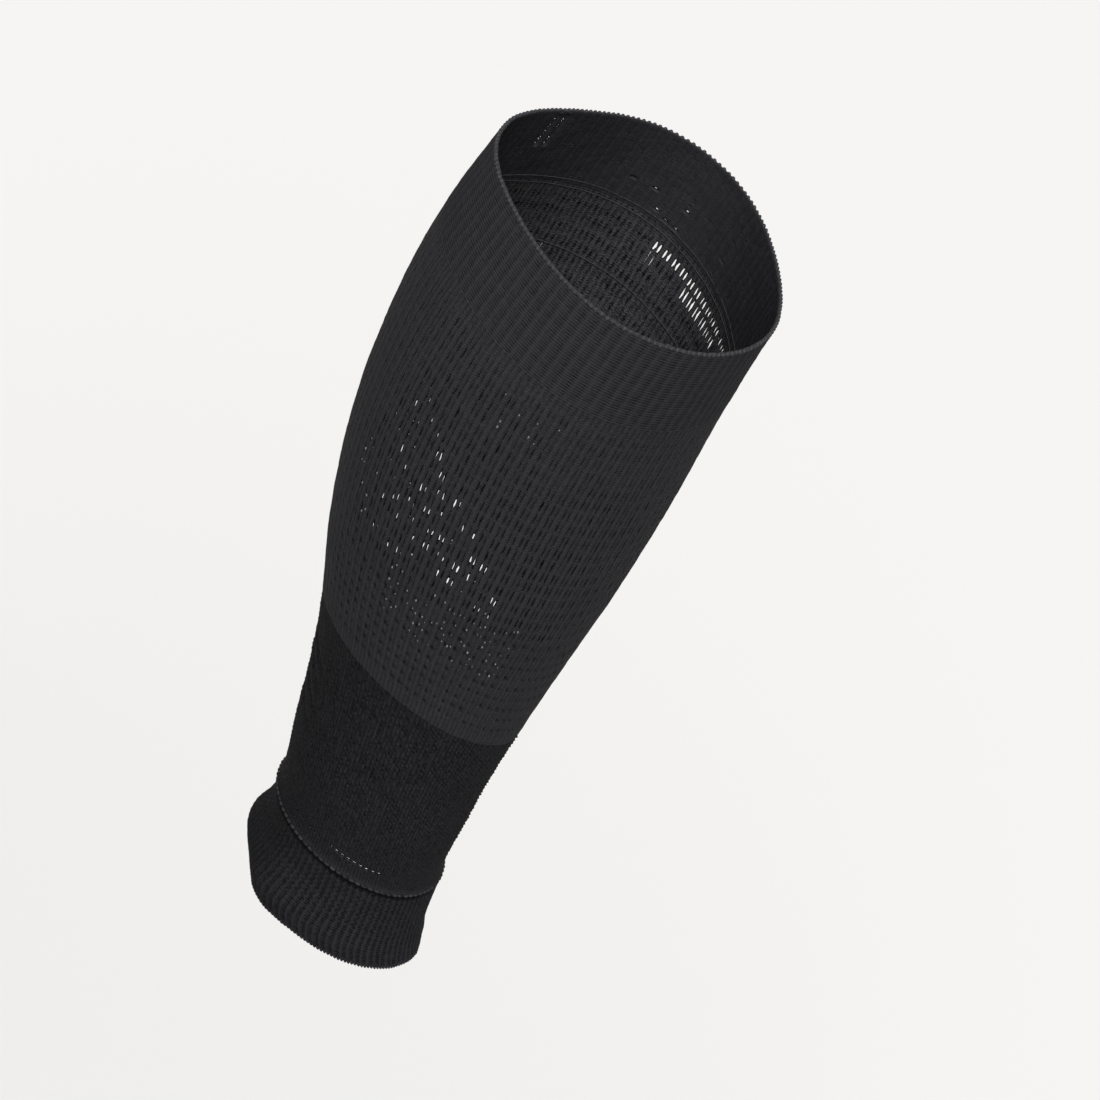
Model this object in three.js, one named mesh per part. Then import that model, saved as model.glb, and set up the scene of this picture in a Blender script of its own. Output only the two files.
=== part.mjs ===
// Knitted calf compression sleeve, in the form that it has on a leg.
// Millimetres. +Z runs up the leg and +X points to the shin. The origin is on the leg's axis,
// where the calf is widest.
import * as THREE from 'three';

const WALL = 1.4; // knit, stretched on the leg
const ZONE_GAP = 0.3; // between one knit zone and the next
const SEGMENTS = 48; // around the leg

// Heights above the hem.
const WELT_HEIGHT = 36; // top of the ankle cuff
const GRIP_HEIGHT = 240; // where the calf is widest
const CUFF_HEIGHT = 294; // foot of the top cuff
const RIM_HEIGHT = 329; // mouth

// The colour change is a ring that tilts a little: its mean height, how far it rises above and
// falls below that, and the angle from the shin at which it is highest, in degrees.
const COLOUR_CHANGE = { height: 124, rise: 9, highSide: -118 };

// Rings of the leg from the hem up: height above the hem, how far the ring's centre lies ahead of
// the origin, half its front-to-back size, and its side-to-side size as a share of that.
const RINGS = [
  { height: 0, ahead: 54.4, reach: 41.6, breadth: 0.82 },
  { height: 7, ahead: 50.4, reach: 42.1, breadth: 0.82 },
  { height: 15, ahead: 49.3, reach: 40.0, breadth: 0.81 },
  { height: 25, ahead: 48.1, reach: 38.1, breadth: 0.8 },
  { height: 36, ahead: 45.5, reach: 37.9, breadth: 0.8 },
  { height: 46, ahead: 42.9, reach: 37.3, breadth: 0.8 },
  { height: 66, ahead: 38.0, reach: 39.1, breadth: 0.81 },
  { height: 92, ahead: 31.9, reach: 41.2, breadth: 0.825 },
  { height: 125, ahead: 24.2, reach: 45.5, breadth: 0.845 },
  { height: 161, ahead: 14.8, reach: 52.1, breadth: 0.885 },
  { height: 201, ahead: 6.5, reach: 57.5, breadth: 0.935 },
  { height: 240, ahead: 0, reach: 59.7, breadth: 0.97 },
  { height: 283, ahead: -5.0, reach: 59.4, breadth: 1 },
  { height: 329, ahead: -6.7, reach: 56.6, breadth: 1 },
];

// The open mouth isn't quite round. Waves around it, as a share of the reach, with the angle of a
// crest in degrees. They start at WAVE_FOOT and are full at the rim.
const WAVE_FOOT = 230;
const MOUTH_WAVES = [
  { count: 2, share: 0.039, crest: -86 },
  { count: 3, share: 0.037, crest: -39 },
  { count: 4, share: 0.024, crest: 6 },
];

// Nor is the hem. Its bumps and dents: the angle of the middle and the width, in degrees, and the
// height as a share of the reach. They start at BUMP_TOP and are full at the hem.
const BUMP_TOP = 34;
const HEM_BUMPS = [
  { angle: -145, width: 22, share: -0.049 },
  { angle: -118, width: 18, share: 0.08 },
  { angle: 15, width: 14, share: -0.042 },
];

// Rolled edges: levels measured from the end that they lie on, and how far the knit stands proud.
const RIM_ROLL = [
  { inward: 0, proud: 0.3 },
  { inward: 0.7, proud: 0.6 },
  { inward: 1.6, proud: 0.6 },
  { inward: 2.4, proud: 0 },
];
const WELT_LIP = [
  { inward: 0, proud: 0.4 },
  { inward: 0.9, proud: 0.8 },
  { inward: 2.2, proud: 0.5 },
  { inward: 3.4, proud: 0 },
];
const HEM_ROLL = [
  { inward: 0, proud: 0.2 },
  { inward: 0.7, proud: 0.4 },
  { inward: 1.6, proud: 0 },
];

const charcoalKnit = new THREE.MeshStandardMaterial({
  name: 'charcoal_knit', color: 0x2c2c2f, roughness: 0.85, metalness: 0,
});
const blackKnit = new THREE.MeshStandardMaterial({
  name: 'black_knit', color: 0x1f1f21, roughness: 0.85, metalness: 0,
});

const radians = THREE.MathUtils.degToRad;
const legForm = new THREE.CubicInterpolant(
  RINGS.map((ring) => ring.height),
  RINGS.flatMap((ring) => [ring.ahead, ring.reach, ring.breadth]),
  3,
);

// How far the open ends stray from the oval, as a factor of the reach.
function outOfRound(angle, height) {
  const mouth = THREE.MathUtils.smoothstep(height, WAVE_FOOT, RIM_HEIGHT);
  const hem = 1 - THREE.MathUtils.smoothstep(height, 0, BUMP_TOP);
  let factor = 1;
  for (const { count, share, crest } of MOUTH_WAVES) {
    factor += mouth * share * Math.cos(count * (angle - radians(crest)));
  }
  for (const { angle: middle, width, share } of HEM_BUMPS) {
    const away = THREE.MathUtils.euclideanModulo(angle - radians(middle) + Math.PI, 2 * Math.PI) - Math.PI;
    factor += hem * share * Math.exp(-((away / radians(width)) ** 2));
  }
  return factor;
}

// A point of the leg's surface, moved out from it by the given distance.
function legPoint(angle, height, out) {
  const [ahead, reach, breadth] = legForm.evaluate(height);
  const factor = outOfRound(angle, height);
  return [
    ahead + (reach * factor + out) * Math.cos(angle),
    (reach * breadth * factor + out) * Math.sin(angle),
    height,
  ];
}

function colourChange(angle) {
  const { height, rise, highSide } = COLOUR_CHANGE;
  return height + rise * Math.cos(angle - radians(highSide));
}

const level = (height) => () => height;

// Levels of a zone from its lower to its upper edge, with any rolled edges in their places.
function zoneLevels(rows, lowerRoll, upperRoll) {
  const levels = lowerRoll.map(({ inward, proud }) => ({ share: 0, shift: inward, proud }));
  const first = lowerRoll.length ? 1 : 0;
  const last = upperRoll.length ? rows - 1 : rows;
  for (let row = first; row <= last; row += 1) {
    levels.push({ share: row / rows, shift: 0, proud: 0 });
  }
  for (const { inward, proud } of upperRoll.toReversed()) {
    levels.push({ share: 1, shift: -inward, proud });
  }
  return levels;
}

// A zone of the tube as a closed wall: outer face, inner face and the two edges between them.
function zoneGeometry({ lower, upper, rows, lowerRoll = [], upperRoll = [] }) {
  const levels = zoneLevels(rows, lowerRoll, upperRoll);
  const position = [];
  for (const inside of [false, true]) {
    for (const { share, shift, proud } of levels) {
      for (let segment = 0; segment < SEGMENTS; segment += 1) {
        const angle = (2 * Math.PI * segment) / SEGMENTS;
        const height = THREE.MathUtils.lerp(lower(angle), upper(angle), share) + shift;
        position.push(...legPoint(angle, height, inside ? -WALL : proud));
      }
    }
  }
  const top = levels.length - 1;
  const outer = (row, segment) => row * SEGMENTS + (segment % SEGMENTS);
  const inner = (row, segment) => outer(row + levels.length, segment);
  const index = [];
  const quad = (a, b, c, d) => index.push(a, b, c, a, c, d);
  for (let segment = 0; segment < SEGMENTS; segment += 1) {
    const next = segment + 1;
    for (let row = 0; row < top; row += 1) {
      quad(outer(row, segment), outer(row, next), outer(row + 1, next), outer(row + 1, segment));
      quad(inner(row, segment), inner(row + 1, segment), inner(row + 1, next), inner(row, next));
    }
    quad(outer(top, segment), outer(top, next), inner(top, next), inner(top, segment));
    quad(outer(0, segment), inner(0, segment), inner(0, next), outer(0, next));
  }
  const geometry = new THREE.BufferGeometry();
  geometry.setAttribute('position', new THREE.Float32BufferAttribute(position, 3));
  geometry.setIndex(index);
  geometry.computeVertexNormals();
  return geometry;
}

const sleeve = new THREE.Group();
sleeve.position.z = -GRIP_HEIGHT;

function addZone(name, material, zone) {
  const mesh = new THREE.Mesh(zoneGeometry(zone), material);
  mesh.name = name;
  sleeve.add(mesh);
}

addZone('ankle_cuff', blackKnit, {
  lower: level(0),
  upper: level(WELT_HEIGHT - ZONE_GAP),
  rows: 7,
  lowerRoll: HEM_ROLL,
});
addZone('ankle_panel', blackKnit, {
  lower: level(WELT_HEIGHT),
  upper: (angle) => colourChange(angle) - ZONE_GAP,
  rows: 8,
  lowerRoll: WELT_LIP,
});
addZone('calf_panel', charcoalKnit, {
  lower: colourChange,
  upper: level(CUFF_HEIGHT - ZONE_GAP),
  rows: 14,
});
addZone('top_cuff', charcoalKnit, {
  lower: level(CUFF_HEIGHT),
  upper: level(RIM_HEIGHT),
  rows: 5,
  upperRoll: RIM_ROLL,
});

export default sleeve;
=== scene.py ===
import math

import bpy
import numpy as np
from mathutils import Matrix, Vector, noise


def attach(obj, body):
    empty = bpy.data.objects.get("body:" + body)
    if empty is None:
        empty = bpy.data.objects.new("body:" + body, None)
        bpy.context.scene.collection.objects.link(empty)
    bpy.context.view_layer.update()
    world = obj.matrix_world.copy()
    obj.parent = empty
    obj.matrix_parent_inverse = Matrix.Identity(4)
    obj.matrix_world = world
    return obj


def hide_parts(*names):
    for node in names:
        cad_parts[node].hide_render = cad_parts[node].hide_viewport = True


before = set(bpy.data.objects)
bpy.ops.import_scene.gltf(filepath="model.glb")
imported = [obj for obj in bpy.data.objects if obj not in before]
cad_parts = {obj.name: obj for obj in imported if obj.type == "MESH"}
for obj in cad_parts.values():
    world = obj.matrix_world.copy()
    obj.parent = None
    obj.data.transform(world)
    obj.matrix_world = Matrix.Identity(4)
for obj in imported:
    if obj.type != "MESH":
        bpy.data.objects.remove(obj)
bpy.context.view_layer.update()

mm = 0.001
seed = 11  # uneven stitches, the same on each run
chance = np.random.default_rng(seed)
noise.seed_set(seed)

# lengths are in mm, heights are measured from the hem, and angles are in degrees from the shin
sleeve = {
    "ribs": 84,  # columns of the rib and of the mesh around the leg
    "points": 5,  # mesh points across one rib
    "roundRadius": 58,  # the tube is made round, then drawn on the leg
    "grip": 240,  # the origin's height, where the calf is widest
    "welt": 36,  # top of the ankle cuff
    "cuff": 294,  # foot of the top cuff
    "rim": 329,
    "course": 1.05,  # from one course of stitches to the next, a little coarse so that they show
    "wobbles": [(7, 0.16), (2.3, 0.1)],  # size of the uneven patches, and how far a stitch strays
    "sharpAngle": 60,  # edges that bend more than this aren't smoothed
}
around = sleeve["ribs"] * sleeve["points"]
ribPitch = 2 * math.pi * sleeve["roundRadius"] / sleeve["ribs"]

# rings of the leg: height, how far ahead the centre lies, front-to-back half, side-to-side share
legForm = np.array([
    (0, 54.4, 41.6, 0.82),
    (7, 50.4, 42.1, 0.82),
    (15, 49.3, 40.0, 0.81),
    (25, 48.1, 38.1, 0.80),
    (36, 45.5, 37.9, 0.80),
    (46, 42.9, 37.3, 0.80),
    (66, 38.0, 39.1, 0.81),
    (92, 31.9, 41.2, 0.825),
    (125, 24.2, 45.5, 0.845),
    (161, 14.8, 52.1, 0.885),
    (201, 6.5, 57.5, 0.935),
    (240, 0.0, 59.7, 0.97),
    (283, -5.0, 59.4, 1.0),
    (329, -6.7, 56.6, 1.0),
])
colourChange = {
    "height": 124,
    "rise": 9,  # the ring tilts, this far up and down
    "highSide": -118,
    "fade": 68,  # the tilt has faded out this far above and below
}
mouth = {
    "foot": 230,  # below this the tube is a plain oval
    "waves": [(2, 0.039, -86), (3, 0.037, -39), (4, 0.024, 6)],  # count, share, angle of a crest
}
hem = {
    "top": 34,  # above this the tube is a plain oval
    "bumps": [(-145, 22, -0.049), (-118, 18, 0.08), (15, 14, -0.042)],  # angle, width, share
}
creases = {  # soft folds behind the ankle
    "heights": (84, 94, 104, 113),
    "angle": -158,
    "spread": 28,
    "slope": -0.2,  # down for each degree towards the shin
    "width": 1.7,
    "depth": 1.1,
}
# painted shade behind the ankle: the knit's relief is flattened and sunk there, so that the yarn's tone
# turns darker
shadeBehindAnkle = {  # behind the ankle
    "angle": -142,
    "spread": 34,
    "flat": 0.6,  # share of the relief that is lost
    "sink": 0.12,
}


# sRGB colour as six hex digits, turned linear
def linear(hexText):
    parts = [int(hexText[i:i + 2], 16) / 255 for i in (0, 2, 4)]
    return [p / 12.92 if p <= 0.04045 else ((p + 0.055) / 1.055) ** 2.4 for p in parts] + [1.0]


# leg form: a smooth curve through the rings, straight at both ends

legHeights = legForm[:, 0]
legValues = legForm[:, 1:]
legSlopes = np.empty_like(legValues)
legSlopes[1:-1] = (legValues[2:] - legValues[:-2]) / (legHeights[2:] - legHeights[:-2])[:, None]
for end, inner in ((0, 1), (-1, -2)):
    chord = (legValues[inner] - legValues[end]) / (legHeights[inner] - legHeights[end])
    legSlopes[end] = 1.5 * chord - 0.5 * legSlopes[inner]


def legRing(height):
    low = np.clip(np.searchsorted(legHeights, height) - 1, 0, len(legHeights) - 2)
    span = (legHeights[low + 1] - legHeights[low])[:, None]
    t = (height - legHeights[low])[:, None] / span
    blend = t * t * (3 - 2 * t)
    value = legValues[low] * (1 - blend) + legValues[low + 1] * blend
    value += span * t * (1 - t) * ((1 - t) * legSlopes[low] - t * legSlopes[low + 1])
    return value.T


def ease(share):
    share = np.clip(share, 0, 1)
    return share * share * (3 - 2 * share)


def degreesFrom(angle, middle):
    return (np.degrees(angle) - middle + 180) % 360 - 180


def readPoints(mesh):
    points = np.empty(len(mesh.vertices) * 3)
    mesh.vertices.foreach_get("co", points)
    return points.reshape(-1, 3) / mm


def writePoints(mesh, points):
    mesh.vertices.foreach_set("co", (points * mm).ravel())
    mesh.update()


# the round tube is drawn on the leg: each point keeps its angle and how far it stands out
def drawOnLeg(piece):
    points = readPoints(piece.data)
    # the relief darkens low points and lightens raised ones in the yarn's tone: painted shade and painted
    # highlight
    relief = piece.data.attributes.new("relief", "FLOAT", "POINT")  # for the yarn's tone
    relief.data.foreach_set("value", np.hypot(points[:, 0], points[:, 1]) - sleeve["roundRadius"])
    for size, stray in sleeve["wobbles"]:
        points += stray * np.array([noise.noise_vector(Vector(p) / size) for p in points])
    angle = np.arctan2(points[:, 1], points[:, 0])
    out = np.hypot(points[:, 0], points[:, 1]) - sleeve["roundRadius"]
    height = points[:, 2]

    near = ease(1 - np.abs(height - colourChange["height"]) / colourChange["fade"])
    tilt = np.cos(angle - math.radians(colourChange["highSide"]))
    height = height + colourChange["rise"] * near * tilt
    back = degreesFrom(angle, creases["angle"])
    fold = np.exp(-(back / creases["spread"]) ** 2)
    for foldHeight in creases["heights"]:
        away = (height - foldHeight - creases["slope"] * back) / creases["width"]
        out = out - creases["depth"] * fold * np.exp(-away ** 2)

    ahead, reach, breadth = legRing(height)
    wave = sum(share * np.cos(count * (angle - math.radians(crest)))
               for count, share, crest in mouth["waves"])
    bump = sum(share * np.exp(-(degreesFrom(angle, middle) / width) ** 2)
               for middle, width, share in hem["bumps"])
    factor = 1 + wave * ease((height - mouth["foot"]) / (sleeve["rim"] - mouth["foot"]))
    factor += bump * (1 - ease(height / hem["top"]))
    points[:, 0] = ahead + (reach * factor + out) * np.cos(angle)
    points[:, 1] = (reach * breadth * factor + out) * np.sin(angle)
    points[:, 2] = height - sleeve["grip"]
    writePoints(piece.data, points)


# a round tube of quads, one ring of points at each height
def roundTube(name, heights):
    bpy.ops.object.select_all(action="DESELECT")
    bpy.ops.mesh.primitive_circle_add(
        vertices=around, radius=sleeve["roundRadius"] * mm, location=(0, 0, 0))
    tube = bpy.context.object
    tube.name = tube.data.name = name
    bpy.ops.object.mode_set(mode="EDIT")
    bpy.ops.mesh.select_mode(type="VERT")
    bpy.ops.mesh.select_all(action="SELECT")
    bpy.ops.transform.translate(value=(0, 0, heights[0] * mm))
    for low, high in zip(heights, heights[1:]):
        bpy.ops.mesh.extrude_region_move(
            TRANSFORM_OT_translate={"value": (0, 0, (high - low) * mm)})
    bpy.ops.mesh.select_all(action="SELECT")
    bpy.ops.mesh.normals_make_consistent(inside=False)
    bpy.ops.object.mode_set(mode="OBJECT")
    return tube


# row, column and rib of each mesh point
def pointGrid(tube, heights):
    points = readPoints(tube.data)
    row = np.abs(points[:, 2][:, None] - np.array(heights)[None, :]).argmin(axis=1)
    turn = np.arctan2(points[:, 1], points[:, 0]) / (2 * math.pi)
    column = np.rint(turn * around).astype(int) % around
    return row, column % sleeve["points"], column // sleeve["points"]


# one draw for each point, laid out by row and column, because the order of the points can vary
def layOut(draws, row, column, rib):
    return draws.reshape(-1, around)[row, rib * sleeve["points"] + column]


# row, column and rib of each face
def faceGrid(tube, heights):
    centre = np.empty(len(tube.data.polygons) * 3)
    tube.data.polygons.foreach_get("center", centre)
    centre = centre.reshape(-1, 3) / mm
    row = np.searchsorted(np.array(heights), centre[:, 2]) - 1
    turn = np.arctan2(centre[:, 1], centre[:, 0]) / (2 * math.pi)
    column = np.floor(turn * around).astype(int) % around
    return row, column % sleeve["points"], column // sleeve["points"]


def selectOnly(tube, chosen, kind):
    bpy.ops.object.mode_set(mode="EDIT")
    bpy.ops.mesh.select_mode(type=kind)
    bpy.ops.mesh.select_all(action="DESELECT")
    bpy.ops.object.mode_set(mode="OBJECT")
    part = tube.data.vertices if kind == "VERT" else tube.data.polygons
    part.foreach_set("select", chosen)
    bpy.ops.object.mode_set(mode="EDIT")


def raisePoints(tube, chosen, height):
    selectOnly(tube, chosen, "VERT")
    bpy.ops.transform.shrink_fatten(value=height * mm)
    bpy.ops.object.mode_set(mode="OBJECT")


def deleteFaces(tube, chosen):
    selectOnly(tube, chosen, "FACE")
    bpy.ops.mesh.delete(type="FACE")
    bpy.ops.object.mode_set(mode="OBJECT")


# each point slides around the tube and lifts off it by its own amount
def shiftPoints(tube, slide, lift):
    points = readPoints(tube.data)
    angle = np.arctan2(points[:, 1], points[:, 0]) + slide / sleeve["roundRadius"]
    reach = np.hypot(points[:, 0], points[:, 1]) + lift
    points[:, 0] = reach * np.cos(angle)
    points[:, 1] = reach * np.sin(angle)
    writePoints(tube.data, points)


# behind the ankle the relief is flattened and sunk, so that the yarn's tone paints the knit darker there:
# painted shade
def paintShadeBehindAnkle(tube):
    points = readPoints(tube.data)
    away = degreesFrom(np.arctan2(points[:, 1], points[:, 0]), shadeBehindAnkle["angle"])
    shadeWeight = np.exp(-(away / shadeBehindAnkle["spread"]) ** 2)
    relief = np.hypot(points[:, 0], points[:, 1]) - sleeve["roundRadius"]
    shiftPoints(tube, 0, -shadeWeight * (shadeBehindAnkle["flat"] * relief + shadeBehindAnkle["sink"]))


# UV map of the knit: ribs around, courses up
def mapKnit(tube, foot, course):
    mesh = tube.data
    points = readPoints(mesh)
    corner = np.empty(len(mesh.loops), dtype=int)
    mesh.loops.foreach_get("vertex_index", corner)
    quads = corner.reshape(-1, 4)
    turn = np.arctan2(points[:, 1], points[:, 0]) / (2 * math.pi) % 1.0
    u = turn[quads]
    u[(u < 0.25) & (u.max(axis=1) > 0.75)[:, None]] += 1  # faces across the seam
    v = (points[:, 2] - foot) / course + 0.5  # a loop's middle lies on each whole course
    uv = np.stack([u * sleeve["ribs"], v[quads]], axis=2)
    mesh.uv_layers.new(name="knit").data.foreach_set("uv", uv.ravel())


# the drawn tube gets its thickness inwards, and a face of its own inside, which with the cut edges takes
# the lighter inside yarn: painted light where shade falls
def finishKnit(tube, wall, outside, inside, edgeShare=1.0):
    bpy.ops.object.select_all(action="DESELECT")
    tube.select_set(True)
    bpy.context.view_layer.objects.active = tube
    tube.data.materials.append(outside)
    tube.data.materials.append(inside)
    thick = tube.modifiers.new("wall", "SOLIDIFY")
    thick.thickness = wall * mm
    thick.offset = -1
    thick.material_offset = 1
    thick.material_offset_rim = 1
    if tube.vertex_groups:
        thick.vertex_group = tube.vertex_groups[0].name
        thick.thickness_vertex_group = edgeShare  # outside the group the wall is this share as thick
    bpy.ops.object.modifier_apply(modifier="wall")
    bpy.ops.object.shade_smooth_by_angle(angle=math.radians(sleeve["sharpAngle"]))


# one small bead, copied around the tube
def beadRing(name, bead, material):
    radius = sleeve["roundRadius"] + bead["out"]
    pitch = 2 * math.pi * radius / bead["count"]
    bpy.ops.object.select_all(action="DESELECT")
    bpy.ops.mesh.primitive_uv_sphere_add(segments=8, ring_count=5, radius=0.5 * mm)  # 1 mm across
    ring = bpy.context.object
    ring.name = ring.data.name = name
    bpy.ops.object.mode_set(mode="EDIT")
    bpy.ops.mesh.select_all(action="SELECT")
    bpy.ops.transform.resize(value=(bead["deep"], pitch * bead["fill"], bead["tall"]))
    bpy.ops.transform.translate(value=(radius * mm, 0, bead["height"] * mm))
    step = 2 * math.pi / bead["count"]
    bpy.ops.mesh.spin(steps=bead["count"] - 1, dupli=True, angle=step * (bead["count"] - 1),
                      center=(0, 0, 0), axis=(0, 0, 1))
    bpy.ops.object.mode_set(mode="OBJECT")
    drawOnLeg(ring)
    bpy.ops.object.shade_smooth()
    ring.data.materials.append(material)
    return ring


# materials

def newMaterial(name):
    material = bpy.data.materials.new(name)
    material.use_nodes = True
    return material, material.node_tree, material.node_tree.nodes["Principled BSDF"]


def addNode(tree, kind, inputs=None, **settings):
    node = tree.nodes.new(kind)
    for name, value in settings.items():
        setattr(node, name, value)
    for socket, value in (inputs or {}).items():
        if isinstance(value, bpy.types.NodeSocket):
            tree.links.new(value, node.inputs[socket])
        else:
            node.inputs[socket].default_value = value
    return node


# the tone mixes the colours of gap and loop, and the fibres make the matt surface a little uneven; in the
# knit the dark gap colour is painted shade in the gaps and valleys, and the loop colour is painted light
# on the raised loops
def finishYarn(tree, shader, yarn, tone, fleck, height):
    colour = addNode(tree, "ShaderNodeMix",
                     {0: tone, 6: linear(yarn["gap"]), 7: linear(yarn["loop"])}, data_type="RGBA")
    tree.links.new(colour.outputs[2], shader.inputs["Base Color"])
    bump = addNode(tree, "ShaderNodeBump",
                   {"Strength": yarn["bump"], "Distance": yarn["bumpDepth"] * mm, "Height": height})
    tree.links.new(bump.outputs[0], shader.inputs["Normal"])
    low, high = yarn["roughness"]
    rough = addNode(tree, "ShaderNodeMapRange", {"Value": fleck, "To Min": low, "To Max": high})
    tree.links.new(rough.outputs[0], shader.inputs["Roughness"])
    shader.inputs["Specular IOR Level"].default_value = yarn["specular"]


# textured polyamide and elastane yarn: matt, with the raised stitches painted light and the gaps between
# them painted dark, as painted highlight and painted shade
knitLook = {
    "fleck": 0.8, "detail": 2.0,  # size of the fibres, drawn coarse so that they show
    "mottle": 14, "mottled": 0.15,  # size of the patches of uneven dye, and what they count in the tone
    "fibreHeight": 0.35, "bump": 0.5, "bumpDepth": 0.3,  # the fibres' weight in the bump, beside the loops
    "roughness": (0.78, 0.95), "specular": 0.08,
}


def knitYarn(name, yarn):
    yarn = {**knitLook, **yarn}
    material, tree, shader = newMaterial(name)
    knit = addNode(tree, "ShaderNodeUVMap", uv_map="knit")
    place = addNode(tree, "ShaderNodeSeparateXYZ", {0: knit.outputs["UV"]})
    wale = addNode(tree, "ShaderNodeMath", {0: place.outputs["X"], 1: 2.0}, operation="MULTIPLY")
    across = addNode(tree, "ShaderNodeMath", {0: wale.outputs[0], 1: 0.5}, operation="PINGPONG")
    slant = addNode(tree, "ShaderNodeMath",
                    {0: across.outputs[0], 1: yarn["lean"], 2: place.outputs["Y"]},
                    operation="MULTIPLY_ADD")
    leg = addNode(tree, "ShaderNodeMath", {0: slant.outputs[0], 1: 0.5}, operation="PINGPONG")
    loop = addNode(tree, "ShaderNodeMath", {0: leg.outputs[0], 1: across.outputs[0]}, operation="ADD")
    objectPlace = addNode(tree, "ShaderNodeTexCoord")
    fleck = addNode(tree, "ShaderNodeTexNoise",
                    {"Vector": objectPlace.outputs["Object"], "Scale": 1 / (yarn["fleck"] * mm),
                     "Detail": yarn["detail"]})
    mottle = addNode(tree, "ShaderNodeTexNoise",
                     {"Vector": objectPlace.outputs["Object"], "Scale": 1 / (yarn["mottle"] * mm)})
    relief = addNode(tree, "ShaderNodeAttribute", attribute_name="relief")
    raised = addNode(tree, "ShaderNodeMapRange",
                     {"Value": relief.outputs["Fac"], "From Min": yarn["valley"],
                      "From Max": yarn["crest"]})
    parts = ((raised, yarn["raised"]), (loop, yarn["looped"]), (fleck, yarn["flecked"]),
             (mottle, yarn["mottled"]))
    tone = 0.5 - 0.5 * sum(weight for _, weight in parts)  # so that the mean is halfway
    for source, weight in parts:
        tone = addNode(tree, "ShaderNodeMath", {0: source.outputs[0], 1: weight, 2: tone},
                       operation="MULTIPLY_ADD").outputs[0]
    height = addNode(tree, "ShaderNodeMath",
                     {0: fleck.outputs["Fac"], 1: yarn["fibreHeight"], 2: loop.outputs[0]},
                     operation="MULTIPLY_ADD")
    finishYarn(tree, shader, yarn, tone, fleck.outputs["Fac"], height.outputs[0])
    return material


# thicker yarn of the edges, single yarns and painted glints: matt, the fibres a fleck between two tones
edgeLook = {"fleck": 0.6, "detail": 3.0, "contrast": (0.3, 0.7), "bump": 0.5, "bumpDepth": 0.2,
            "roughness": (0.75, 0.92), "specular": 0.08}


def edgeYarn(name, yarn):
    yarn = {**edgeLook, **yarn}
    material, tree, shader = newMaterial(name)
    objectPlace = addNode(tree, "ShaderNodeTexCoord")
    fleck = addNode(tree, "ShaderNodeTexNoise",
                    {"Vector": objectPlace.outputs["Object"], "Scale": 1 / (yarn["fleck"] * mm),
                     "Detail": yarn["detail"]})
    low, high = yarn["contrast"]
    tone = addNode(tree, "ShaderNodeMapRange",
                   {"Value": fleck.outputs["Fac"], "From Min": low, "From Max": high})
    finishYarn(tree, shader, yarn, tone.outputs[0], fleck.outputs["Fac"], fleck.outputs["Fac"])
    return material


# valley and crest are heights of the relief, lean is the slant of a loop's legs, and raised, looped
# and flecked say how much the relief, the loops and the fibres of the yarn count in the tone; relief and
# loops paint shade in the low parts and light on the raised ones
charcoalRib = knitYarn("charcoalPolyamideRib", {
    "loop": "3d3d40", "gap": "161618", "valley": -0.3, "crest": 0.25, "lean": 0.2,
    "raised": 1.0, "looped": 0.4, "flecked": 0.85})
charcoalMesh = knitYarn("charcoalPolyamideMesh", {
    "loop": "454548", "gap": "171719", "valley": -0.6, "crest": 0.6, "lean": 1.1,
    "raised": 0.8, "looped": 0.6, "flecked": 1.1})
blackRib = knitYarn("blackPolyamideRib", {
    "loop": "363639", "gap": "0c0c0e", "valley": -0.25, "crest": 0.32, "lean": 0.2,
    "raised": 1.0, "looped": 0.3, "flecked": 1.0})
blackPique = knitYarn("blackPolyamidePique", {
    "loop": "38383b", "gap": "0c0c0e", "valley": -0.3, "crest": 0.5, "lean": 1.1,
    "raised": 1.0, "looped": 0.5, "flecked": 1.2})
# the inside yarns are lighter copies of the outside ones: painted light on the shaded inside and on the
# cut edges of the slits
charcoalInsidePaintedLight = knitYarn("charcoalPolyamideInsidePaintedLight", {
    "loop": "46464a", "gap": "242426", "valley": -0.35, "crest": 0.6, "lean": 0.2,
    "raised": 0.15, "looped": 0.25, "flecked": 0.85, "bump": 0.3})
insideYarnPaintedLight = knitYarn("polyamideInsidePaintedLight", {
    "loop": "535356", "gap": "111113", "valley": -0.6, "crest": 0.6, "lean": 1.1,
    "raised": 0.9, "looped": 0.7, "flecked": 1.8})
blackInsidePaintedLight = knitYarn("blackPolyamideInsidePaintedLight", {
    "loop": "3c3c3f", "gap": "202022", "valley": -0.3, "crest": 0.5, "lean": 1.1,
    "raised": 0.4, "looped": 0.5, "flecked": 0.85})
# the rim's edge yarn is lighter than the cuff: painted highlight along the rolled rim
charcoalEdgePaintedHighlight = edgeYarn("charcoalEdgeYarnPaintedHighlight", {"loop": "57575a", "gap": "323235"})
blackEdge = edgeYarn("blackEdgeYarn", {"loop": "3a3a3d", "gap": "1a1a1c"})
# the welt's beads are lighter than the knit: painted highlight on the lit ridge
weltYarnPaintedHighlight = edgeYarn("blackWeltYarnPaintedHighlight", {"loop": "454548", "gap": "1e1e20", "fleck": 2.0})
coveredElastane = edgeYarn("coveredElastane", {"loop": "545457", "gap": "38383b"})
# light beads that stand for glints: painted highlight
paintedGlint = edgeYarn("paintedGlint", {"loop": "a4a4a7", "gap": "5e5e61", "fleck": 2.0})
print("materials made")


# two rows of points for each course
def courseHeights(low, high):
    courses = round((high - low) / sleeve["course"])
    return np.linspace(low, high, 2 * courses + 1).tolist()


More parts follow.
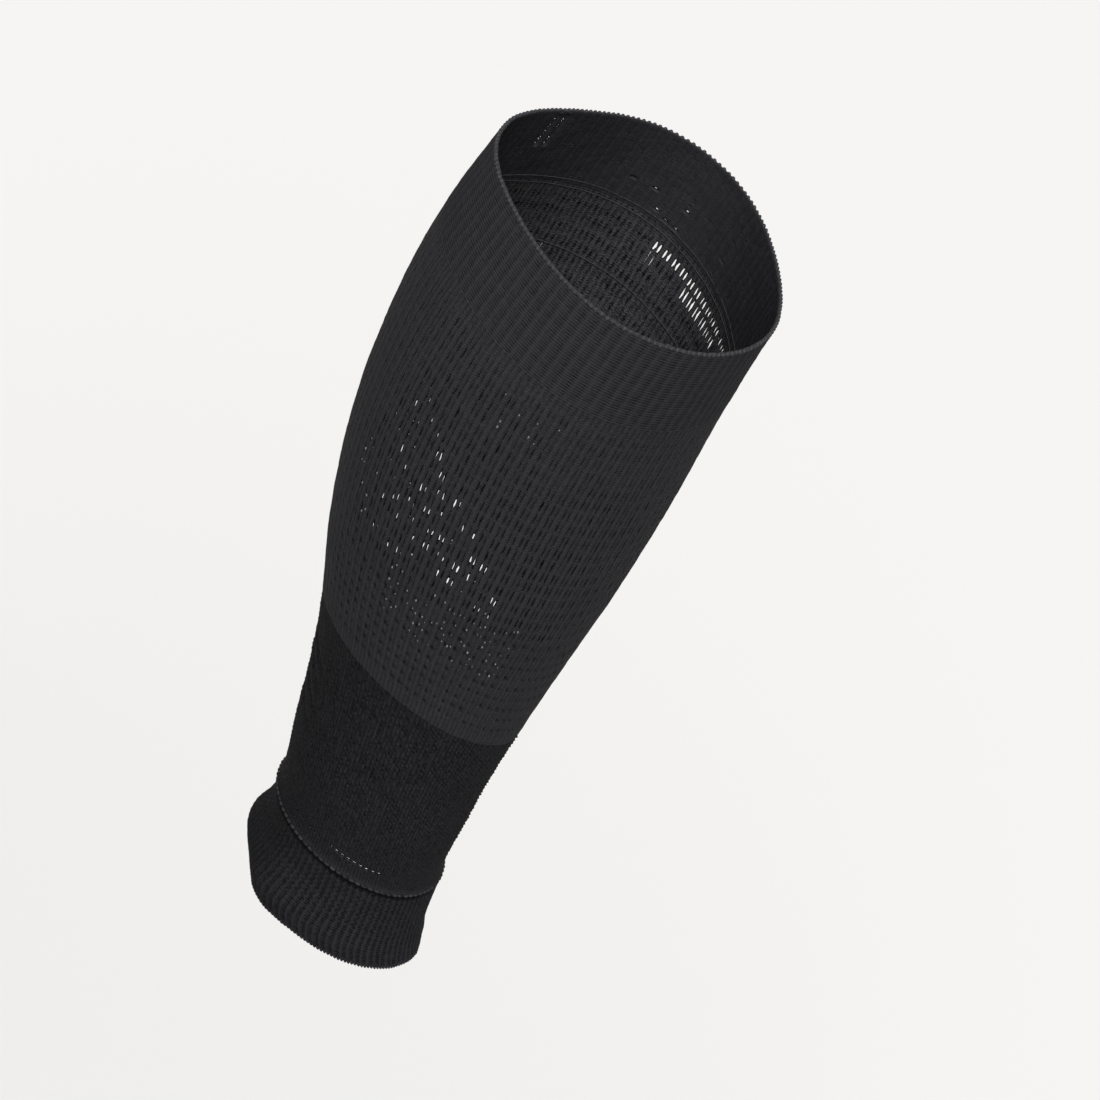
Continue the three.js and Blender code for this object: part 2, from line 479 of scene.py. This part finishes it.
# ribs: a smooth crest, and a valley whose courses lie across it as small bars with dips between them
def ribTube(name, rib, heights):
    tube = roundTube(name, heights)
    mapKnit(tube, heights[0], heights[2] - heights[0])
    row, column, number = pointGrid(tube, heights)
    depth = rib["dip"] * chance.uniform(*rib["uneven"], (len(heights), sleeve["ribs"]))[row, number]
    valley = np.where(row % 2 == 1, -depth, rib["bar"])
    crestShare = np.array([0, rib["shoulder"], 1, rib["shoulder"], 0])[column]
    shiftPoints(tube, 0, valley + crestShare * (rib["proud"] - valley))
    return tube


# top cuff, with two short lines of pinholes near the rim and a few stray ones at its foot
cuffRib = {
    "proud": 0.22, "shoulder": 0.25, "bar": 0.17, "dip": 0.12, "uneven": (0.3, 1.7), "wall": 1.3,
    "head": sleeve["rim"] - 0.8,  # inside the beads of the rim
    "pinholeRibs": (34, 35), "pinholeColumn": 4, "pinholeSpan": (310.5, 327),
    "pinholeStep": 3, "pinholeLong": 2,  # in rows of faces
    "pinholeWall": 0.25,  # share of the wall that is left beside a pinhole
    "strayRibs": (13, 25), "strayRows": 22, "strayShare": 0.05,
    "strayWeight": 0.3,  # beside a stray one the wall is this far from that share to a full one
}
cuffHeights = courseHeights(sleeve["cuff"], cuffRib["head"])
topCuff = ribTube("topCuff", cuffRib, cuffHeights)
faceRow, faceColumn, faceRib = faceGrid(topCuff, cuffHeights)
low, high = np.searchsorted(cuffHeights, cuffRib["pinholeSpan"])
pinhole = np.isin(faceRib, cuffRib["pinholeRibs"]) & (faceRow >= low) & (faceRow < high)
pinhole &= faceRow % cuffRib["pinholeStep"] < cuffRib["pinholeLong"]
low, high = cuffRib["strayRibs"]
stray = (faceRib >= low) & (faceRib < high) & (faceRow < cuffRib["strayRows"])
stray &= chance.random((len(cuffHeights), sleeve["ribs"]))[faceRow, faceRib] < cuffRib["strayShare"]
thickPoints = topCuff.vertex_groups.new(name="thickPoints")
thickPoints.add(range(len(topCuff.data.vertices)), 1.0, "REPLACE")
for holes, weight in ((pinhole, 0.0), (stray, cuffRib["strayWeight"])):
    holes &= faceColumn == cuffRib["pinholeColumn"]
    for face in np.flatnonzero(holes):
        thickPoints.add(topCuff.data.polygons[face].vertices[:], weight, "REPLACE")
deleteFaces(topCuff, pinhole | stray)
drawOnLeg(topCuff)
finishKnit(topCuff, cuffRib["wall"], charcoalRib, charcoalInsidePaintedLight, cuffRib["pinholeWall"])

rimBead = {"count": 168, "fill": 0.76, "tall": 1.7, "deep": 1.4, "out": -0.25,
           "height": cuffRib["head"]}
rimPicot = beadRing("rimPicot", rimBead, charcoalEdgePaintedHighlight)
print("top cuff made")

# calf panel: rows of paired slits, with a thin bar in each pair and a thick one between pairs
calfMesh = {
    "borderRows": 6, "borderPitch": 1.25, "border": 0.06,  # plain knit below the slits, a little proud
    "rows": 25, "foot": 131.5, "pitch": 6.1,
    "slitRows": 3,  # rows of points to a slit: foot, middle and head
    "bandLow": 3.5, "bandHigh": 0.95, "grow": 85,  # slits grow up from the ankle
    "topSlit": (284.0, 287.6),  # a last, shorter row below the cuff
    "headRows": (291.0, 292.5),  # plain knit above it
    # where the five points across one column lie: with the slits shut, at the ends of open ones,
    # and at their middle, where the thin bar is drawn in
    "closed": (0.33, 0.33, 2.15, 2.15, 3.4),
    "ends": (0.12, 0.52, 1.94, 2.35, 3.4),
    "middle": (0.0, 0.82, 1.62, 2.46, 3.4),
    # how open the two slits of a pair are in front, at these heights
    "openHeights": (131, 150, 195, 245, 268), "openFirst": (0.6, 0.75, 0.75, 0.75, 0.55),
    "openSecond": (0.25, 0.55, 0.65, 0.65, 0.4), "uneven": 0.2, "least": 0.08,
    "backAngles": (180, 198, 213, 240), "backShare": (1, 0.1, 0.1, 1),  # nearly shut behind the calf
    # on the far side they are drawn shut from the shin round to these angles, and open beyond
    "shutHeights": (136, 152, 171, 212, 220), "shutAngles": (72, 98, 126, 152, 180), "farOpen": 1.0,
    "missed": 0.016, "missedOpen": 0.22,  # a few of those stay a little open
    "pulled": ((-1, 36, 87), (-2, 43, 72)),  # two rows below the cuff, wide open between two angles
    "pitRows": 9, "pit": 0.5, "pitStray": 0.9,  # the lowest slits in front are only uneven pits
    "dent": 0.36, "dentUneven": (0.2, 1.8),  # what is left of a slit that is shut
    "stray": 0.07, "proud": 0.14, "thin": 0.1,  # points stray, thick bars stand out, thin ones lie lower
    "wall": 1.0, "edgeShare": 0.4,
}
slits = []
for i in range(calfMesh["rows"]):
    foot = calfMesh["foot"] + i * calfMesh["pitch"]
    grown = float(ease((foot - calfMesh["foot"]) / calfMesh["grow"]))
    band = calfMesh["bandLow"] + grown * (calfMesh["bandHigh"] - calfMesh["bandLow"])
    slits.append((foot, foot + calfMesh["pitch"] - band))
slits.append(calfMesh["topSlit"])
calfHeights = [colourChange["height"] + calfMesh["borderPitch"] * i
               for i in range(calfMesh["borderRows"])]
slitFoot = len(calfHeights)
for foot, head in slits:
    calfHeights += [foot, (foot + head) / 2, head]
slitHead = len(calfHeights)
calfHeights += [*calfMesh["headRows"], sleeve["cuff"]]

calfPanel = roundTube("calfPanel", calfHeights)
mapKnit(calfPanel, 0, sleeve["course"])
row, column, rib = pointGrid(calfPanel, calfHeights)
faceRow, faceColumn, faceRib = faceGrid(calfPanel, calfHeights)
inMesh = (row >= slitFoot) & (row < slitHead)
slitRow = np.clip((row - slitFoot) // calfMesh["slitRows"], 0, len(slits) - 1)
atMiddle = inMesh & ((row - slitFoot) % calfMesh["slitRows"] == 1)

# the slits open unevenly, and some of them are shut
slitHeight = np.array([foot for foot, _ in slits])
openness = np.stack([np.interp(slitHeight, calfMesh["openHeights"], calfMesh[key])
                     for key in ("openFirst", "openSecond")], axis=1)[:, None, :]
openness = openness + chance.normal(0, calfMesh["uneven"], (len(slits), sleeve["ribs"], 2))
ribAngle = 360 * np.arange(sleeve["ribs"]) / sleeve["ribs"]  # the far side comes first
backShare = np.interp(ribAngle, calfMesh["backAngles"], calfMesh["backShare"])
openness = np.clip(openness * backShare[None, :, None], calfMesh["least"], 1)
openness[:, ribAngle < 180] = calfMesh["farOpen"]
shutAngle = np.interp(slitHeight, calfMesh["shutHeights"], calfMesh["shutAngles"])
shut = ribAngle[None, :] < shutAngle[:, None]
missed = shut & (chance.random(shut.shape) < calfMesh["missed"])
openness[missed] = calfMesh["missedOpen"]
shut &= ~missed
shut[:calfMesh["pitRows"], ribAngle > 180] = True
for pulledRow, low, high in calfMesh["pulled"]:
    pulled = (ribAngle > low) & (ribAngle < high)
    openness[pulledRow, pulled] = 1
    shut[pulledRow, pulled] = False
openness = openness[slitRow, rib, np.where(column < 2, 0, 1)]
closed, ends, middle = (np.array(calfMesh[key])[column] for key in ("closed", "ends", "middle"))
target = closed + openness * (np.where(atMiddle, middle, ends) - closed)
slide = target - column * ribPitch / sleeve["points"]
slide += layOut(chance.normal(0, calfMesh["stray"], len(row)), row, column, rib)

# a shut slit is a dent along its outer edge, and a pit is a pair's first slit, dented at both edges
inPit = slitRow < calfMesh["pitRows"]
points = readPoints(calfPanel.data)
pitRise = calfMesh["pitStray"] * chance.uniform(-1, 1, shut.shape)[slitRow, rib]
points[:, 2] += np.where(inPit & atMiddle, pitRise, 0)
writePoints(calfPanel.data, points)
# the dents' low relief also paints the shut slits and the pits dark through the yarn's tone: painted shade
dented = np.where(inPit, column < 2, (column == 0) | (column == 3)) & shut[slitRow, rib] & atMiddle
dent = np.where(inPit, calfMesh["pit"], calfMesh["dent"]) * backShare[rib]
dent = dent * layOut(chance.uniform(*calfMesh["dentUneven"], len(row)), row, column, rib)
shiftPoints(calfPanel, np.where(inMesh, slide, 0), np.where(dented, -dent, 0))
raisePoints(calfPanel, column == 4, calfMesh["proud"])
raisePoints(calfPanel, ((column == 1) | (column == 2)) & atMiddle & ~inPit, -calfMesh["thin"])
raisePoints(calfPanel, row < slitFoot - 1, calfMesh["border"])
thickPoints = np.flatnonzero((column == 4) | ~inMesh).tolist()  # the slits have thinner edges
calfPanel.vertex_groups.new(name="thickPoints").add(thickPoints, 1.0, "REPLACE")
slitFace = (faceRow >= slitFoot) & (faceRow < slitHead)
slitFace &= (faceRow - slitFoot) % calfMesh["slitRows"] < 2  # the third row of faces is the band above
slitFace &= ~shut[np.clip((faceRow - slitFoot) // calfMesh["slitRows"], 0, len(slits) - 1), faceRib]
deleteFaces(calfPanel, slitFace & ((faceColumn == 0) | (faceColumn == 2)))
drawOnLeg(calfPanel)
finishKnit(calfPanel, calfMesh["wall"], charcoalMesh, insideYarnPaintedLight, calfMesh["edgeShare"])

# small light beads beside the pits and the slits, in three patches in front: painted glints, a painted
# highlight
glint = {
    # rows of slits, angles, and the share of the slits that have a bead
    "patches": (((5, 10), (256, 312), 0.6), ((10, 15), (224, 240), 0.3), ((22, 25), (262, 288), 0.25)),
    "across": (1.1, 2.8), "stray": 0.15,  # beside each of the two slits of a pair
    "wide": 0.6, "tall": 1.1, "uneven": (0.6, 1.4),
}
reach = sleeve["roundRadius"]
pitGlint = bpy.data.objects.new("pitGlint", bpy.data.meshes.new("pitGlint"))
bpy.context.collection.objects.link(pitGlint)
bpy.ops.object.select_all(action="DESELECT")
pitGlint.select_set(True)
bpy.context.view_layer.objects.active = pitGlint
bpy.ops.object.mode_set(mode="EDIT")
for glintRows, (low, high), share in glint["patches"]:
    for foot, head in slits[slice(*glintRows)]:
        for start in np.radians(ribAngle[(ribAngle > low) & (ribAngle < high)]):
            for across in glint["across"]:
                if chance.random() > share:
                    continue
                angle = start + (across + chance.normal(0, glint["stray"])) / reach
                bpy.ops.mesh.primitive_uv_sphere_add(
                    segments=6, ring_count=4, radius=0.5 * mm * chance.uniform(*glint["uneven"]),
                    location=(reach * math.cos(angle) * mm, reach * math.sin(angle) * mm,
                              chance.uniform(foot, head) * mm),
                    rotation=(0, 0, angle), scale=(glint["wide"], glint["wide"], glint["tall"]))
bpy.ops.object.mode_set(mode="OBJECT")
drawOnLeg(pitGlint)
bpy.ops.object.shade_smooth()
pitGlint.data.materials.append(paintedGlint)
print("calf panel made")

# elastic yarn laid in around the inside of the calf and of the cuff's foot
elastic = {
    "radius": 0.18, "sides": 5, "steps": 168, "merge": 0.01,
    "rings": ((266, 1.05), (291.8, 1.05), (295.4, 1.35)),  # height, and how far inside the tube
}
bpy.ops.object.select_all(action="DESELECT")
bpy.ops.mesh.primitive_circle_add(
    vertices=elastic["sides"], radius=elastic["radius"] * mm, location=(0, 0, 0))
elasticYarn = bpy.context.object
elasticYarn.name = elasticYarn.data.name = "elasticYarn"
bpy.ops.object.mode_set(mode="EDIT")
bpy.ops.mesh.select_all(action="SELECT")
bpy.ops.transform.rotate(value=math.pi / 2, orient_axis="X", center_override=(0, 0, 0))
lastHeight, lastDepth = elastic["rings"][0]
bpy.ops.transform.translate(value=((sleeve["roundRadius"] - lastDepth) * mm, 0, lastHeight * mm))
for height, depth in elastic["rings"][1:]:
    bpy.ops.mesh.duplicate_move(TRANSFORM_OT_translate={
        "value": ((lastDepth - depth) * mm, 0, (height - lastHeight) * mm)})
    lastHeight, lastDepth = height, depth
bpy.ops.mesh.select_all(action="SELECT")
bpy.ops.mesh.spin(steps=elastic["steps"], angle=2 * math.pi, center=(0, 0, 0), axis=(0, 0, 1))
bpy.ops.mesh.select_all(action="SELECT")
bpy.ops.mesh.remove_doubles(threshold=elastic["merge"] * mm)
bpy.ops.mesh.normals_make_consistent(inside=False)
bpy.ops.object.mode_set(mode="OBJECT")
drawOnLeg(elasticYarn)
bpy.ops.object.shade_smooth()
elasticYarn.data.materials.append(coveredElastane)
print("elastic yarn made")

# ankle panel: a lip, a plain strip with a ring of pinholes, then short ridges in staggered rows
anklePique = {
    "lip": ((0, 0.1), (0.6, 0.25), (1.4, 0.2), (2.3, 0.1), (3.2, 0)),  # above the welt, and how proud
    "plain": (4.6, 6.0, 7.4),
    "pinhole": 1.2, "pinholeRibs": 71,  # the last ribs, towards the shin, have none
    "ridge": 1.02, "proud": 0.34, "uneven": 0.4, "pit": 0.08, "stray": 0.2,
    "flatShare": 0.5, "fullRelief": 82,  # the ridges are lower near the welt, and full from this height
    "wall": 1.3,
}
ankleHeights = [sleeve["welt"] + up for up, _ in anklePique["lip"]]
ankleHeights += [sleeve["welt"] + up for up in anklePique["plain"]]
pinholeRow = len(ankleHeights) - 1
ankleHeights.append(ankleHeights[-1] + anklePique["pinhole"])
ridgeFoot = len(ankleHeights) - 1
ridgeRows = round((colourChange["height"] - ankleHeights[-1]) / anklePique["ridge"])
ridgePitch = (colourChange["height"] - ankleHeights[-1]) / ridgeRows
ankleHeights += [ankleHeights[-1] + ridgePitch * (i + 1) for i in range(ridgeRows)]

anklePanel = roundTube("anklePanel", ankleHeights)
mapKnit(anklePanel, 0, sleeve["course"])
row, column, rib = pointGrid(anklePanel, ankleHeights)
faceRow, faceColumn, faceRib = faceGrid(anklePanel, ankleHeights)
for i, (_, proud) in enumerate(anklePique["lip"]):
    if proud:
        raisePoints(anklePanel, row == i, proud)
onRidge = (row > ridgeFoot + 1) & (row < len(ankleHeights) - 1) & (column % 2 == 1)  # two on each rib
stagger = (row + column // 2) % 2 == 0
lift = np.where(stagger, anklePique["proud"], -anklePique["pit"])
lift += anklePique["uneven"] * layOut(chance.uniform(-1, 1, len(row)), row, column, rib)
fullRow = np.searchsorted(ankleHeights, anklePique["fullRelief"])
lift *= np.interp(row, (ridgeFoot, fullRow), (anklePique["flatShare"], 1))
slide = layOut(chance.normal(0, anklePique["stray"], len(row)), row, column, rib)
shiftPoints(anklePanel, np.where(onRidge, slide, 0), np.where(onRidge, lift, 0))
pinhole = (faceRow == pinholeRow) & (faceRib < anklePique["pinholeRibs"])
deleteFaces(anklePanel, pinhole & ((faceColumn == 2) | (faceColumn == 3)))
paintShadeBehindAnkle(anklePanel)
drawOnLeg(anklePanel)
finishKnit(anklePanel, anklePique["wall"], blackPique, insideYarnPaintedLight)

weltBead = {"count": 84, "fill": 0.95, "tall": 1.15, "deep": 1.2, "out": 0.3,
            "height": sleeve["welt"] + 0.4}
weltRidge = beadRing("weltRidge", weltBead, weltYarnPaintedHighlight)
print("ankle panel made")

# ankle cuff: ribs that run zigzag in the upper half, and a head that is tucked under the lip
hemRib = {
    "proud": 0.22, "shoulder": 0.3, "bar": 0.04, "dip": 0.2, "uneven": (0.2, 1.8), "wall": 1.2,
    "foot": 0.7,  # inside the beads of the hem
    "zigzag": (15, 33), "zigzagPitch": 2.6, "sway": 0.7,
    "tuck": 0.8, "tuckFoot": 32.8,
}
hemHeights = courseHeights(hemRib["foot"], sleeve["welt"])
ankleCuff = ribTube("ankleCuff", hemRib, hemHeights)
row, _, _ = pointGrid(ankleCuff, hemHeights)
height = np.array(hemHeights)[row]
sway = hemRib["sway"] * (4 * np.abs(height / hemRib["zigzagPitch"] % 1 - 0.5) - 1)  # to and fro
low, high = hemRib["zigzag"]
sway[(height < low) | (height > high)] = 0
# the tuck's lower relief also paints the head dark through the yarn's tone: painted shade under the lip
tuck = hemRib["tuck"] * ease((height - hemRib["tuckFoot"]) / (sleeve["welt"] - hemRib["tuckFoot"]))
paintShadeBehindAnkle(ankleCuff)
shiftPoints(ankleCuff, sway, -tuck)
drawOnLeg(ankleCuff)
finishKnit(ankleCuff, hemRib["wall"], blackRib, blackInsidePaintedLight)

hemBead = {"count": 168, "fill": 1.0, "tall": 1.7, "deep": 1.6, "out": -0.3,
           "height": hemRib["foot"]}
hemPicot = beadRing("hemPicot", hemBead, blackEdge)
print("ankle cuff made")

# each piece hides the model part it stands for, and hangs from the root body
for piece, node in ((topCuff, "top_cuff"), (calfPanel, "calf_panel"),
                    (anklePanel, "ankle_panel"), (ankleCuff, "ankle_cuff")):
    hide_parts(node)
for piece, slot in ((topCuff, "charcoal_knit"), (rimPicot, "charcoal_knit"),
                    (calfPanel, "charcoal_knit"), (pitGlint, "charcoal_knit"),
                    (elasticYarn, "charcoal_knit"),
                    (anklePanel, "black_knit"), (weltRidge, "black_knit"),
                    (ankleCuff, "black_knit"), (hemPicot, "black_knit")):
    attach(piece, "root")

# floor, light and camera, with lengths in metres
studio = {"floorDrop": 0.5, "floorSize": 60, "floorHex": "f5f4f2", "worldStrength": 0.26,
          "keyStrength": 2.77, "keySpread": 50, "keyTurn": -4, "keyHeight": 58}
view = {"aim": Vector((0.0363, 0, -0.0423)), "distance": 1.0913, "elevation": 37.5, "roll": 39.0,
        "lens": 100, "sensor": 36}  # these two in mm

bpy.ops.object.select_all(action="DESELECT")
bpy.ops.mesh.primitive_plane_add(
    size=studio["floorSize"], location=(0, 0, -sleeve["grip"] * mm - studio["floorDrop"]))
floor = bpy.context.object
floor.name = floor.data.name = "floor"
floorPaint, _, paint = newMaterial("palePaint")
paint.inputs["Base Color"].default_value = linear(studio["floorHex"])
paint.inputs["Roughness"].default_value = 1.0
paint.inputs["Specular IOR Level"].default_value = 0.0
floor.data.materials.append(floorPaint)
floor.visible_diffuse = False  # it throws no light back on the dark knit

world = bpy.data.worlds.new("studio")
world.use_nodes = True
sky = world.node_tree.nodes["Background"]
sky.inputs["Color"].default_value = (1.0, 1.0, 1.0, 1.0)
sky.inputs["Strength"].default_value = studio["worldStrength"]
bpy.context.scene.world = world

bpy.ops.object.light_add(type="SUN")
key = bpy.context.object
key.name = "key"
key.data.energy = studio["keyStrength"]
key.data.angle = math.radians(studio["keySpread"])
key.rotation_euler = (math.radians(90 - studio["keyHeight"]), 0, math.radians(studio["keyTurn"]))

camera = bpy.data.objects.new("camera", bpy.data.cameras.new("camera"))
bpy.context.collection.objects.link(camera)
camera.data.lens = view["lens"]
camera.data.sensor_width = view["sensor"]
turn = Matrix.Rotation(math.radians(90 - view["elevation"]), 4, "X")
back = turn @ Vector((0, 0, view["distance"]))
camera.matrix_world = (Matrix.Translation(view["aim"] + back) @ turn
                       @ Matrix.Rotation(math.radians(view["roll"]), 4, "Z"))
bpy.context.scene.camera = camera
bpy.context.scene.view_settings.view_transform = "Standard"
print("studio made")
